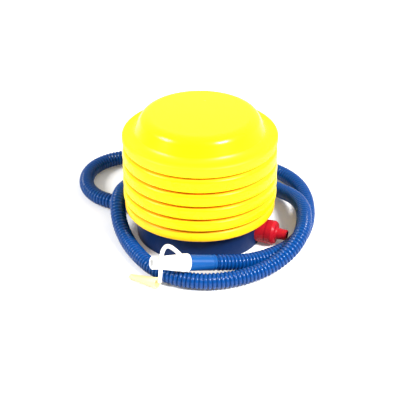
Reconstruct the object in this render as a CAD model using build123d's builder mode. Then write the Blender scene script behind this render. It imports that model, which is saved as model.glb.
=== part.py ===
from build123d import *
from math import cos, pi, radians, sin, tan
import os

# Bellows hand pump: a round pleated bellows on a drum base, a suction valve and an outlet port on
# opposite sides, and a corrugated hose wound round it that ends in a nozzle with a tethered adapter.
# Millimetres, +Z up, origin at the centre of the underside, on the bellows' axis.

# --- base -------------------------------------------------------------------------------------
base_radius = 51.0
base_wall = 2.4
deck_thickness = 2.4       # the bellows stands on the deck
rim_height = 5.0           # upstand that the bellows' lower neck is pushed over
rim_wall = 2.2
plate_thickness = 2.0
gasket_thickness = 0.8
gasket_width = 2.6
ledge_height = 2.2
air_hole_radius = 3.5
air_hole_inset = 19.0      # from the base's outside to the holes' circle
air_hole_count = 6
screw_inset = 13.0         # from the base's outside to the screws' circle
screw_count = 4
screw_radius = 1.5
screw_length = 8.0
screw_head_radius = 2.8
screw_head_height = 1.6
screw_boss_wall = 2.3
base_edge_radius = 1.2

# --- bellows ----------------------------------------------------------------------------------
pleat_depth = 11.4
lowest_pleat_depth = 10.4
pleat_count = 5
lowest_pleat_height = 9.7
pleat_height_step = 0.75   # each pleat is this much taller than the one below it
pleats_above_deck = 2.6
pleat_mouth = 1.8          # gap between two pleats at their crests, before rounding
pleat_root_gap = 0.5
bellows_wall = 1.2
crest_rounding = 3.4
neck_overlap = 3.0         # length of the upper neck inside the cap
ring_wall = 1.5
ring_height = 2.2

# --- foot cap ---------------------------------------------------------------------------------
cap_overhang = 0.2         # cap's edge beyond the pleats' crests
cap_wall = 1.8
cap_gap = 0.3              # clearance between the cap and the bellows
shoulder_height = 9.8
shoulder_rounding = 4.2
shoulder_width = 8.8
dome_taper = 8.0
dome_height = 16.2
dome_foot_rounding = 6.0
dome_rim_rounding = 9.0
collar_height = 4.6
collar_wall = 1.5
press_travel = 40.0

# --- return spring and its seats --------------------------------------------------------------
spring_radius = 21.0       # to the middle of the wire
wire_radius = 1.1
spring_turns = 6.5
seat_lip = 2.9             # seat's edge beyond the spring
seat_thickness = 1.6
seat_collar_wall = 1.8
seat_collar_height = 4.5
spring_gap = 0.3
seat_stem_radius = 4.0
seat_drop = 5.0            # upper seat below the cap's inner top face
socket_wall = 2.5
socket_clearance = 0.05
seat_bore_radius = 12.0

# --- suction valve, red -----------------------------------------------------------------------
inlet_azimuth = -22.0
inlet_floor = 1.1          # between the gasket and the port's shank
valve_radius = 9.5
valve_body_length = 10.0   # lengths of the ports run outwards from the base's wall
valve_cap_skirt = 3.0
valve_cap_radius = 9.7
valve_cap_length = 4.4
valve_cap_rounding = 1.6
spigot_radius = 4.3
spigot_length = 9.0
spigot_bore = 2.7
shank_radius = 6.3
shank_reach = 10.0         # reaches run inwards from the base's wall
chamber_radius = 6.4
chamber_depth = 8.0
thread_wall = 1.6
disc_radius = 5.4
disc_thickness = 1.4
disc_travel = 1.6
disc_gap = 0.05
cage_thickness = 1.6
cage_post_radius = 1.6
nut_wall = 1.0
nut_length = 2.8
nut_gap = 0.3
nut_headroom = 0.1         # between the nut and the deck

# --- outlet port and its valve ----------------------------------------------------------------
outlet_azimuth = 158.0
outlet_floor = 0.3
flange_radius = 6.6
flange_length = 2.2
outlet_spigot_length = 7.8
outlet_shank_radius = 4.5
outlet_reach = 17.0
outlet_bore = 2.4
outlet_chamber_radius = 3.4
outlet_seat_thickness = 1.6
outlet_seat_bore = 1.9
outlet_disc_radius = 2.7
outlet_disc_thickness = 1.2
outlet_disc_travel = 1.4
outlet_cage_thickness = 1.0

# --- fits shared by both ports ----------------------------------------------------------------
port_clearance = 0.1
port_boss_reach = 6.5
port_boss_wall = 2.5
seal_wire = 0.9
seal_reach = 2.8

# --- hose, nozzle, tether and adapter ---------------------------------------------------------
hose_radius = 6.3
hose_wall = 1.2
cuff_radius = 6.6
cuff_length = 8.8
nozzle_cuff_radius = 6.2
nozzle_cuff_length = 22.0
nozzle_length = 29.8
nozzle_wide_radius = 7.0
nozzle_collar = 5.0
nozzle_tip_radius = 4.9
nozzle_tip_length = 8.0
nozzle_bore = 3.2
nozzle_tail_length = 14.0
tether_radius = 1.6
cone_wide_radius = 4.4
cone_tip_radius = 2.0
cone_wall = 0.9
cone_wide_centre = (-31.7, -88.0, 4.9)
cone_tip_centre = (-53.2, -74.3, 2.1)

# Hose centre line from the outlet cuff: out to the left, a wide loop back, behind the bellows,
# round the right side and the front, over its own start, behind again, and to the nozzle.
hose_route = [
    (-57.8, 23.35, 7.6), (-71.4, 28.85, 7.6), (-86.5, 39.5, 6.4), (-96.5, 56.0, 6.4),
    (-98.5, 76.0, 6.4), (-92.5, 94.5, 6.4), (-78.0, 108.0, 6.4), (-56.0, 114.5, 6.4),
    (-32.0, 112.0, 10.0), (-11.0, 104.5, 18.6), (12.0, 94.5, 19.8), (33.0, 82.0, 13.5),
    (51.0, 66.0, 7.5), (67.0, 47.5, 8.6), (78.5, 24.5, 15.4), (83.5, 0.0, 19.6),
    (83.0, -20.0, 20.0), (80.0, -38.5, 19.4), (72.0, -54.5, 14.6), (58.0, -67.0, 8.8),
    (40.5, -78.0, 6.4), (20.5, -86.5, 6.4), (-0.5, -88.5, 6.4), (-20.5, -82.5, 6.4),
    (-36.5, -69.0, 6.4), (-48.5, -50.5, 6.4), (-58.0, -30.0, 6.4), (-65.2, -10.0, 12.0),
    (-67.8, 10.2, 20.4), (-63.3, 31.4, 20.8), (-53.0, 51.0, 14.0), (-39.0, 69.0, 6.4),
    (-20.5, 85.5, 6.4), (3.0, 97.5, 6.4), (28.5, 101.5, 6.4), (52.0, 96.5, 6.4),
    (71.5, 82.5, 6.4), (84.0, 62.5, 6.4), (89.0, 39.5, 6.4), (89.0, 16.0, 6.4),
    (86.0, -6.0, 6.4), (79.5, -25.5, 6.4), (69.0, -41.0, 6.4), (55.5, -51.5, 6.4),
    (42.5, -59.5, 7.2), (30.3, -66.8, 9.7), (11.1, -74.2, 14.4),
]

# Tether centre line, from the nozzle's collar, over the nozzle and down to the adapter's wide end.
tether_route = [
    (-14.5, -83.4, 26.8), (-19.5, -82.8, 32.6), (-25.0, -84.5, 36.6), (-28.2, -91.0, 35.0),
    (-28.8, -97.8, 28.6), (-29.4, -98.2, 18.0), (-30.2, -91.4, 9.0),
]

# --- places worked out from the values above --------------------------------------------------
plate_seat = plate_thickness + gasket_thickness
cavity_radius = base_radius - base_wall
inlet_height = plate_seat + inlet_floor + shank_radius
deck_underside = inlet_height + shank_radius + nut_wall + nut_headroom
deck_top = deck_underside + deck_thickness
neck_inner = cavity_radius
neck_outer = neck_inner + bellows_wall
crest_radius = neck_outer + pleat_depth
lowest_crest_radius = neck_outer + lowest_pleat_depth
cap_radius = crest_radius + cap_overhang
dome_foot_radius = cap_radius - shoulder_width
dome_rim_radius = dome_foot_radius - dome_taper
screw_circle = base_radius - screw_inset
air_hole_circle = base_radius - air_hole_inset
seat_radius = spring_radius + wire_radius + seat_lip
outlet_height = plate_seat + outlet_floor + outlet_shank_radius
valve_body_end = base_radius + valve_body_length
valve_cap_end = valve_body_end + valve_cap_length
spigot_end = valve_cap_end + spigot_length
shank_start = base_radius - shank_reach
chamber_floor = valve_body_end - chamber_depth
port_boss_start = base_radius - port_boss_reach
nut_end = port_boss_start - nut_gap
seal_distance = base_radius - seal_reach
flange_end = base_radius + flange_length
outlet_spigot_end = flange_end + outlet_spigot_length
outlet_start = base_radius - outlet_reach
cuff_end = flange_end + cuff_length
pleats_bottom = deck_top + pleats_above_deck
pleat_rounding = min(crest_rounding, 0.48 * (lowest_pleat_height - pleat_mouth))
pleat_heights = [lowest_pleat_height + i * pleat_height_step for i in range(pleat_count)]
pleat_levels = [pleats_bottom + sum(pleat_heights[:i]) for i in range(pleat_count + 1)]
pleats_top = pleat_levels[-1]
cap_bottom = pleats_top + cap_gap
shoulder_top = cap_bottom + shoulder_height
cap_top = shoulder_top + dome_height
collar_inner = neck_outer + cap_gap
lower_seat_top = deck_top + seat_thickness
upper_seat_top = cap_top - cap_wall - seat_drop
upper_seat_bottom = upper_seat_top - seat_thickness
seat_collar_outer = spring_radius - wire_radius - spring_gap
spring_start = lower_seat_top + wire_radius
spring_height = upper_seat_bottom - spring_gap - wire_radius - spring_start


def port_plane(azimuth, height, distance):
    """Plane square to a port's axis, facing outwards, at a distance from the bellows' axis."""
    across = radians(azimuth)
    return Plane(
        origin=(distance * cos(across), distance * sin(across), height),
        x_dir=(-sin(across), cos(across), 0),
        z_dir=(cos(across), sin(across), 0),
    )


def inlet_plane(distance):
    return port_plane(inlet_azimuth, inlet_height, distance)


def outlet_plane(distance):
    return port_plane(outlet_azimuth, outlet_height, distance)


def pleat_outline(inset):
    """Zigzag side of the bellows from bottom to top, moved into the wall by inset."""
    points = []
    for i in range(pleat_count):
        crest = (lowest_crest_radius if i == 0 else crest_radius) - inset
        low = pleat_levels[i] + inset
        high = pleat_levels[i + 1] - inset
        points += [
            (neck_outer - inset, low + pleat_root_gap / 2),
            (crest, low + pleat_mouth / 2),
            (crest, high - pleat_mouth / 2),
            (neck_outer - inset, high - pleat_root_gap / 2),
        ]
    return points


def corners_at(section, *radii):
    """Corners of a turned section that lie at any of these radii."""
    return [v for v in section.vertices() if any(abs(v.X - r) < 0.001 for r in radii)]


def corner_radii(route):
    """Largest even arcs for a route: 0.45 of the shorter run over the tangent of half the turn."""
    radii = []
    for before, point, after in zip(route, route[1:], route[2:]):
        run_in = Vector(*point) - Vector(*before)
        run_out = Vector(*after) - Vector(*point)
        half_turn = radians(run_in.get_angle(run_out) / 2)
        radii.append(0.45 * min(run_in.length, run_out.length) / tan(half_turn))
    return radii


def report_tube(name, route, radii, part, section_area, path_length):
    """Print a tube's bends and compare its volume with its section times its length."""
    print(name, "radii", [round(r, 1) for r in radii])
    print(name, "length", round(path_length, 1), "smallest radius", round(min(radii), 1))
    print(name, "volume", round(part.volume), "section x length", round(section_area * path_length))


# --- base housing -----------------------------------------------------------------------------
with BuildPart() as base_housing:
    with BuildSketch(Plane.XY):
        Circle(base_radius)
    extrude(amount=deck_top)
    fillet(base_housing.edges().group_by(Axis.Z)[-1], base_edge_radius)
    with BuildSketch(Plane.XY.offset(plate_seat)):
        Circle(cavity_radius)
    extrude(amount=deck_underside - plate_seat, mode=Mode.SUBTRACT)
    # ledge that the gasket presses against
    with BuildSketch(Plane.XY.offset(plate_seat)):
        Circle(cavity_radius)
        Circle(cavity_radius - gasket_width - port_clearance, mode=Mode.SUBTRACT)
    extrude(amount=ledge_height)
    # bosses round the two ports, inside the wall
    with BuildSketch(inlet_plane(port_boss_start)):
        Circle(shank_radius + port_boss_wall)
        with Locations((0, deck_underside - inlet_height)):
            Rectangle(
                base_radius, base_radius, align=(Align.CENTER, Align.MAX), mode=Mode.INTERSECT
            )
    extrude(amount=base_radius - base_wall / 2 - port_boss_start)
    with BuildSketch(outlet_plane(port_boss_start)):
        Circle(outlet_shank_radius + port_boss_wall)
        with Locations((0, deck_underside - outlet_height)):
            Rectangle(
                base_radius, base_radius, align=(Align.CENTER, Align.MAX), mode=Mode.INTERSECT
            )
    extrude(amount=base_radius - base_wall / 2 - port_boss_start)
    # recess for the plate and the gasket
    with BuildSketch(Plane.XY):
        Circle(cavity_radius)
    extrude(amount=plate_seat, mode=Mode.SUBTRACT)
    # screw bosses from the deck down to the plate
    with BuildSketch(Plane.XY.offset(plate_thickness)):
        with PolarLocations(screw_circle, screw_count, start_angle=inlet_azimuth + 45):
            Circle(screw_radius + screw_boss_wall)
    extrude(amount=deck_underside - plate_thickness)
    with BuildSketch(Plane.XY.offset(plate_thickness)):
        with PolarLocations(screw_circle, screw_count, start_angle=inlet_azimuth + 45):
            Circle(screw_radius)
    extrude(amount=screw_length, mode=Mode.SUBTRACT)
    # air holes through the deck
    with BuildSketch(Plane.XY.offset(deck_underside)):
        with PolarLocations(air_hole_circle, air_hole_count):
            Circle(air_hole_radius)
    extrude(amount=deck_thickness, mode=Mode.SUBTRACT)
    # rim for the bellows' neck
    with BuildSketch(Plane.XY.offset(deck_top)):
        Circle(neck_inner)
        Circle(neck_inner - rim_wall, mode=Mode.SUBTRACT)
    extrude(amount=rim_height)
    # port holes
    with BuildSketch(inlet_plane(port_boss_start - 1)):
        Circle(shank_radius + port_clearance)
    extrude(amount=base_radius, mode=Mode.SUBTRACT)
    with BuildSketch(outlet_plane(port_boss_start - 1)):
        Circle(outlet_shank_radius + port_clearance)
    extrude(amount=base_radius, mode=Mode.SUBTRACT)

# --- base plate, gasket and screws ------------------------------------------------------------
with BuildPart() as base_plate:
    with BuildSketch(Plane.XY):
        Circle(cavity_radius - port_clearance)
    extrude(amount=plate_thickness)
    with BuildSketch(Plane.XY):
        with PolarLocations(screw_circle, screw_count, start_angle=inlet_azimuth + 45):
            Circle(screw_radius + port_clearance)
    extrude(amount=plate_thickness, mode=Mode.SUBTRACT)
    with PolarLocations(screw_circle, screw_count, start_angle=inlet_azimuth + 45):
        Cone(
            screw_head_radius + port_clearance,
            screw_radius + port_clearance,
            screw_head_height,
            align=(Align.CENTER, Align.CENTER, Align.MIN),
            mode=Mode.SUBTRACT,
        )

with BuildPart() as base_gasket:
    with BuildSketch(Plane.XY.offset(plate_thickness)):
        Circle(cavity_radius - port_clearance)
        Circle(cavity_radius - gasket_width, mode=Mode.SUBTRACT)
    extrude(amount=gasket_thickness)

with BuildPart() as base_screws:
    with PolarLocations(screw_circle, screw_count, start_angle=inlet_azimuth + 45):
        Cone(
            screw_head_radius,
            screw_radius,
            screw_head_height,
            align=(Align.CENTER, Align.CENTER, Align.MIN),
        )
        Cylinder(screw_radius, screw_length, align=(Align.CENTER, Align.CENTER, Align.MIN))
        with Locations((0, 0, 0)):
            Box(
                screw_head_radius * 1.2,
                screw_radius / 2,
                screw_head_height / 2,
                align=(Align.CENTER, Align.CENTER, Align.MIN),
                mode=Mode.SUBTRACT,
            )

# --- bellows and its clamp ring ---------------------------------------------------------------
with BuildPart() as bellows:
    with BuildSketch(Plane.XZ) as bellows_section:
        with BuildLine():
            outside = pleat_outline(0)
            inside = pleat_outline(bellows_wall)
            neck_top = cap_bottom + neck_overlap
            Polyline(
                (neck_outer, deck_top),
                *outside,
                (neck_outer, neck_top),
                (neck_inner, neck_top),
                *reversed(inside),
                (neck_inner, deck_top),
                close=True,
            )
        make_face()
        fillet(
            corners_at(bellows_section, crest_radius, lowest_crest_radius), pleat_rounding
        )
        fillet(
            corners_at(
                bellows_section, crest_radius - bellows_wall, lowest_crest_radius - bellows_wall
            ),
            pleat_rounding - bellows_wall,
        )
    revolve(axis=Axis.Z)

with BuildPart() as clamp_ring:
    with BuildSketch(Plane.XY.offset(deck_top)):
        Circle(neck_outer + ring_wall)
        Circle(neck_outer, mode=Mode.SUBTRACT)
    extrude(amount=ring_height)

# --- foot cap ---------------------------------------------------------------------------------
with BuildPart() as top_cap:
    with BuildSketch(Plane.XZ):
        with BuildLine() as cap_line:
            FilletPolyline(
                (collar_inner, cap_bottom),
                (cap_radius - 0.6, cap_bottom),
                (cap_radius, shoulder_top),
                (dome_foot_radius, shoulder_top),
                (dome_rim_radius, cap_top),
                (0, cap_top),
                radius=[crest_rounding, shoulder_rounding, dome_foot_rounding, dome_rim_rounding],
            )
            offset(cap_line.line, amount=cap_wall, side=Side.LEFT)
        make_face()
    revolve(axis=Axis.Z)
    with BuildSketch(Plane.XY.offset(cap_bottom)):
        Circle(collar_inner + collar_wall)
        Circle(collar_inner, mode=Mode.SUBTRACT)
    extrude(amount=collar_height)
    with BuildSketch(Plane.XY.offset(upper_seat_top)):
        Circle(seat_stem_radius + socket_wall)
        Circle(seat_stem_radius + socket_clearance, mode=Mode.SUBTRACT)
    extrude(amount=seat_drop + cap_wall / 2)

# --- spring seats and spring ------------------------------------------------------------------
with BuildPart() as lower_spring_seat:
    with BuildSketch(Plane.XY.offset(deck_top)):
        Circle(seat_radius)
        Circle(seat_bore_radius, mode=Mode.SUBTRACT)
    extrude(amount=seat_thickness)
    with BuildSketch(Plane.XY.offset(lower_seat_top)):
        Circle(seat_collar_outer)
        Circle(seat_collar_outer - seat_collar_wall, mode=Mode.SUBTRACT)
    extrude(amount=seat_collar_height)

with BuildPart() as upper_spring_seat:
    with BuildSketch(Plane.XY.offset(upper_seat_bottom)):
        Circle(seat_radius)
    extrude(amount=seat_thickness)
    with BuildSketch(Plane.XY.offset(upper_seat_bottom - seat_collar_height)):
        Circle(seat_collar_outer)
        Circle(seat_collar_outer - seat_collar_wall, mode=Mode.SUBTRACT)
    extrude(amount=seat_collar_height)
    with BuildSketch(Plane.XY.offset(upper_seat_top)):
        Circle(seat_stem_radius)
    extrude(amount=seat_drop - cap_gap)

with BuildPart() as return_spring:
    with BuildLine() as coil:
        Helix(
            pitch=spring_height / spring_turns,
            height=spring_height,
            radius=spring_radius,
            center=(0, 0, spring_start),
        )
    with BuildSketch(Plane(origin=coil.line @ 0, z_dir=coil.line % 0)):
        Circle(wire_radius)
    sweep(is_frenet=True)

# --- suction valve ----------------------------------------------------------------------------
with BuildPart() as inlet_valve_body:
    with BuildSketch(inlet_plane(seal_distance)):
        Circle(valve_radius)
    extrude(amount=valve_body_end - valve_cap_skirt - seal_distance)
    with BuildSketch(inlet_plane(valve_body_end - valve_cap_skirt)):
        Circle(chamber_radius + thread_wall)
    extrude(amount=valve_cap_skirt)
    # the drum's inner end follows the base's round wall
    Cylinder(
        base_radius, 2 * deck_top + inlet_height, align=(Align.CENTER, Align.CENTER, Align.CENTER),
        mode=Mode.SUBTRACT,
    )
    with BuildSketch(inlet_plane(shank_start)):
        Circle(shank_radius)
    extrude(amount=base_radius + 1 - shank_start)
    with BuildSketch(inlet_plane(shank_start)):
        Circle(cage_post_radius + thread_wall)
    extrude(amount=chamber_floor - shank_start, mode=Mode.SUBTRACT)
    with BuildSketch(inlet_plane(chamber_floor)):
        Circle(chamber_radius)
    extrude(amount=valve_body_end - chamber_floor, mode=Mode.SUBTRACT)
    with BuildSketch(inlet_plane(seal_distance - seal_wire)):
        Circle(shank_radius + port_clearance)
        Circle(shank_radius + port_clearance - 2 * seal_wire, mode=Mode.SUBTRACT)
    extrude(amount=2 * seal_wire, mode=Mode.SUBTRACT)

with BuildPart() as inlet_valve_cap:
    with BuildSketch(inlet_plane(valve_body_end - valve_cap_skirt)):
        Circle(valve_cap_radius)
    extrude(amount=valve_cap_end - valve_body_end + valve_cap_skirt)
    fillet(inlet_valve_cap.edges().group_by(SortBy.DISTANCE)[-1], valve_cap_rounding)
    with BuildSketch(inlet_plane(valve_body_end - valve_cap_skirt)):
        Circle(chamber_radius + thread_wall + disc_gap)
    extrude(amount=valve_cap_skirt, mode=Mode.SUBTRACT)
    with BuildSketch(inlet_plane(valve_cap_end)):
        Circle(spigot_radius)
    extrude(amount=spigot_end - valve_cap_end)
    with BuildSketch(inlet_plane(valve_body_end)):
        Circle(spigot_bore)
    extrude(amount=spigot_end - valve_body_end, mode=Mode.SUBTRACT)

disc_rest = valve_body_end - disc_gap - disc_thickness
with BuildPart() as inlet_valve_disc:
    with BuildSketch(inlet_plane(disc_rest)):
        Circle(disc_radius)
    extrude(amount=disc_thickness)

with BuildPart() as inlet_valve_cage:
    with BuildSketch(inlet_plane(chamber_floor)):
        Circle(chamber_radius)
        with PolarLocations((chamber_radius + cage_post_radius) / 2, 3):
            Circle((chamber_radius - cage_post_radius) / 2 - 0.8, mode=Mode.SUBTRACT)
    extrude(amount=cage_thickness)
    with BuildSketch(inlet_plane(chamber_floor + cage_thickness)):
        Circle(cage_post_radius)
    extrude(amount=disc_rest - disc_travel - 2 * disc_gap - chamber_floor - cage_thickness)

with BuildPart() as inlet_seal:
    with BuildSketch(Plane.XZ):
        with Locations((shank_radius + port_clearance - seal_wire, 0)):
            Circle(seal_wire)
    revolve(axis=Axis.Z)
inlet_seal.part = inlet_plane(seal_distance).location * inlet_seal.part

with BuildPart() as inlet_lock_nut:
    with BuildSketch(inlet_plane(nut_end - nut_length)):
        RegularPolygon(shank_radius + nut_wall, 6, major_radius=False)
        Circle(shank_radius, mode=Mode.SUBTRACT)
    extrude(amount=nut_length)

# --- outlet port ------------------------------------------------------------------------------
outlet_cage_start = (outlet_start + outlet_seat_thickness + outlet_disc_thickness
                     + outlet_disc_travel + 3 * disc_gap)
with BuildPart() as outlet_port:
    with BuildSketch(outlet_plane(seal_distance)):
        Circle(flange_radius)
    extrude(amount=flange_end - seal_distance)
    Cylinder(
        base_radius, 2 * deck_top + inlet_height, align=(Align.CENTER, Align.CENTER, Align.CENTER),
        mode=Mode.SUBTRACT,
    )
    with BuildSketch(outlet_plane(outlet_start)):
        Circle(outlet_shank_radius)
    extrude(amount=base_radius + 1 - outlet_start)
    with BuildSketch(outlet_plane(flange_end)):
        Circle(spigot_radius)
    extrude(amount=outlet_spigot_end - flange_end)
    with BuildSketch(outlet_plane(outlet_start)):
        Circle(outlet_bore)
    extrude(amount=outlet_spigot_end - outlet_start, mode=Mode.SUBTRACT)
    with BuildSketch(outlet_plane(outlet_start)):
        Circle(outlet_chamber_radius)
    extrude(amount=outlet_cage_start + outlet_cage_thickness - outlet_start, mode=Mode.SUBTRACT)
    with BuildSketch(outlet_plane(seal_distance - seal_wire)):
        Circle(outlet_shank_radius + port_clearance)
        Circle(outlet_shank_radius + port_clearance - 2 * seal_wire, mode=Mode.SUBTRACT)
    extrude(amount=2 * seal_wire, mode=Mode.SUBTRACT)

with BuildPart() as outlet_valve_seat:
    with BuildSketch(outlet_plane(outlet_start)):
        Circle(outlet_chamber_radius)
        Circle(outlet_seat_bore, mode=Mode.SUBTRACT)
    extrude(amount=outlet_seat_thickness)

outlet_disc_rest = outlet_start + outlet_seat_thickness + disc_gap
with BuildPart() as outlet_valve_disc:
    with BuildSketch(outlet_plane(outlet_disc_rest)):
        Circle(outlet_disc_radius)
    extrude(amount=outlet_disc_thickness)

with BuildPart() as outlet_valve_cage:
    with BuildSketch(outlet_plane(outlet_cage_start)):
        Circle(outlet_chamber_radius)
        with PolarLocations(outlet_chamber_radius * 0.55, 3):
            Circle(outlet_chamber_radius * 0.3, mode=Mode.SUBTRACT)
    extrude(amount=outlet_cage_thickness)

with BuildPart() as outlet_seal:
    with BuildSketch(Plane.XZ):
        with Locations((outlet_shank_radius + port_clearance - seal_wire, 0)):
            Circle(seal_wire)
    revolve(axis=Axis.Z)
outlet_seal.part = outlet_plane(seal_distance).location * outlet_seal.part

# --- hose and its cuffs -----------------------------------------------------------------------
with BuildPart() as hose_cuff:
    with BuildSketch(outlet_plane(flange_end)):
        Circle(cuff_radius)
        Circle(spigot_radius, mode=Mode.SUBTRACT)
    extrude(amount=cuff_end - flange_end)

hose_radii = corner_radii(hose_route)
with BuildPart() as hose:
    with BuildLine() as hose_path:
        FilletPolyline(*hose_route, radius=hose_radii)
    with BuildSketch(Plane(origin=hose_path.line @ 0, z_dir=hose_path.line % 0)):
        Circle(hose_radius)
        Circle(hose_radius - hose_wall, mode=Mode.SUBTRACT)
    sweep()
hose_section = pi * (hose_radius**2 - (hose_radius - hose_wall) ** 2)
report_tube("hose", hose_route, hose_radii, hose.part, hose_section, hose_path.wires()[0].length)

hose_end = Vector(*hose_route[-1])
nozzle_direction = (hose_end - Vector(*hose_route[-2])).normalized()


def nozzle_plane(distance):
    """Plane square to the nozzle's axis, at a distance past the end of the hose."""
    return Plane(origin=hose_end + nozzle_direction * distance, z_dir=nozzle_direction)


with BuildPart() as nozzle_cuff:
    with BuildSketch(nozzle_plane(0)):
        Circle(nozzle_cuff_radius)
        Circle(spigot_radius, mode=Mode.SUBTRACT)
    extrude(amount=nozzle_cuff_length)

nozzle_base = nozzle_cuff_length
with BuildPart() as nozzle:
    with BuildSketch(nozzle_plane(nozzle_base)):
        Circle(nozzle_wide_radius)
    extrude(amount=nozzle_collar)
    with BuildSketch(nozzle_plane(nozzle_base + nozzle_collar)):
        Circle(nozzle_wide_radius)
    with BuildSketch(nozzle_plane(nozzle_base + nozzle_length - nozzle_tip_length)):
        Circle(nozzle_tip_radius)
    loft()
    with BuildSketch(nozzle_plane(nozzle_base + nozzle_length - nozzle_tip_length)):
        Circle(nozzle_tip_radius)
    extrude(amount=nozzle_tip_length)
    with BuildSketch(nozzle_plane(nozzle_base)):
        Circle(spigot_radius)
    extrude(amount=-nozzle_tail_length)
    with BuildSketch(nozzle_plane(nozzle_base - nozzle_tail_length)):
        Circle(nozzle_bore)
    extrude(amount=nozzle_tail_length + nozzle_length, mode=Mode.SUBTRACT)

# --- adapter cone and its tether --------------------------------------------------------------
cone_axis = Vector(*cone_tip_centre) - Vector(*cone_wide_centre)
cone_wide_plane = Plane(origin=cone_wide_centre, z_dir=cone_axis)
cone_tip_plane = Plane(origin=cone_tip_centre, z_dir=cone_axis)
with BuildPart() as adapter_cone:
    with BuildSketch(cone_wide_plane):
        Circle(cone_wide_radius)
    with BuildSketch(cone_tip_plane):
        Circle(cone_tip_radius)
    loft()
    with BuildSketch(cone_wide_plane):
        Circle(cone_wide_radius - cone_wall)
    with BuildSketch(cone_tip_plane):
        Circle(cone_tip_radius - cone_wall)
    loft(mode=Mode.SUBTRACT)

tether_radii = corner_radii(tether_route)
with BuildPart() as nozzle_tether:
    with BuildLine() as tether_path:
        FilletPolyline(*tether_route, radius=tether_radii)
    with BuildSketch(Plane(origin=tether_path.line @ 0, z_dir=tether_path.line % 0)):
        Circle(tether_radius)
    sweep()
report_tube(
    "tether", tether_route, tether_radii, nozzle_tether.part, pi * tether_radius**2,
    tether_path.wires()[0].length,
)

# --- one STEP for each piece ------------------------------------------------------------------
pieces = {
    "base_housing": base_housing,
    "base_plate": base_plate,
    "base_gasket": base_gasket,
    "base_screws": base_screws,
    "bellows": bellows,
    "clamp_ring": clamp_ring,
    "top_cap": top_cap,
    "lower_spring_seat": lower_spring_seat,
    "upper_spring_seat": upper_spring_seat,
    "return_spring": return_spring,
    "inlet_valve_body": inlet_valve_body,
    "inlet_valve_cap": inlet_valve_cap,
    "inlet_valve_disc": inlet_valve_disc,
    "inlet_valve_cage": inlet_valve_cage,
    "inlet_seal": inlet_seal,
    "inlet_lock_nut": inlet_lock_nut,
    "outlet_port": outlet_port,
    "outlet_valve_seat": outlet_valve_seat,
    "outlet_valve_disc": outlet_valve_disc,
    "outlet_valve_cage": outlet_valve_cage,
    "outlet_seal": outlet_seal,
    "hose_cuff": hose_cuff,
    "hose": hose,
    "nozzle_cuff": nozzle_cuff,
    "nozzle": nozzle,
    "nozzle_tether": nozzle_tether,
    "adapter_cone": adapter_cone,
}
os.makedirs("parts", exist_ok=True)
for name, piece in pieces.items():
    piece.part.label = name
    export_step(piece.part, f"parts/{name}.step")
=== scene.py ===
"""Dresses the solid model of a round bellows hand pump for rendering.

The solid model gives every size and place. This file adds the pleated bellows, the foot cap, the
ribbed hose, the tether, the turned plastic pieces, the finishes, and a pale studio with a camera.
"""

from math import cos, pi, radians, sin, tan

import bpy
from bpy.props import FloatProperty, FloatVectorProperty, IntProperty, PointerProperty
from mathutils import Matrix, Vector


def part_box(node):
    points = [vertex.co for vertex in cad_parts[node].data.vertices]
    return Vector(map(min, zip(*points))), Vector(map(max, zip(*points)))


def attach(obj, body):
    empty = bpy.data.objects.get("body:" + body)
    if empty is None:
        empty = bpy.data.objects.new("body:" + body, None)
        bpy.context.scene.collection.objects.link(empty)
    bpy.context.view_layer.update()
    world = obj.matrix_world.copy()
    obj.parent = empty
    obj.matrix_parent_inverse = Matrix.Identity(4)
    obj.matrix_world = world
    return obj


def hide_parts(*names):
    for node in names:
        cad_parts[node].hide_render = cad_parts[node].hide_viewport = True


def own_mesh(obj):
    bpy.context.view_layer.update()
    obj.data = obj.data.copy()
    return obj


bl_info = {
    "name": "Bellows Hand Pump",
    "version": (1, 0, 0),
    "blender": (4, 5, 0),
    "location": "3D View > Sidebar > Pump",
    "description": "Builds the visible pieces and finishes of a round bellows hand pump",
    "category": "Add Mesh",
}

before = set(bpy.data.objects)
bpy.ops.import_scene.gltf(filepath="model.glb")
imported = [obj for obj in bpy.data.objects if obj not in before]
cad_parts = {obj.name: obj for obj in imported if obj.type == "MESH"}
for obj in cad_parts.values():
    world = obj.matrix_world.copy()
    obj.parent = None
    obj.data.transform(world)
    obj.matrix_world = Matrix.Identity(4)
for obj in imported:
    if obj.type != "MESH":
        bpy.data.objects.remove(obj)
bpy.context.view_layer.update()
MM = 0.001

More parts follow.
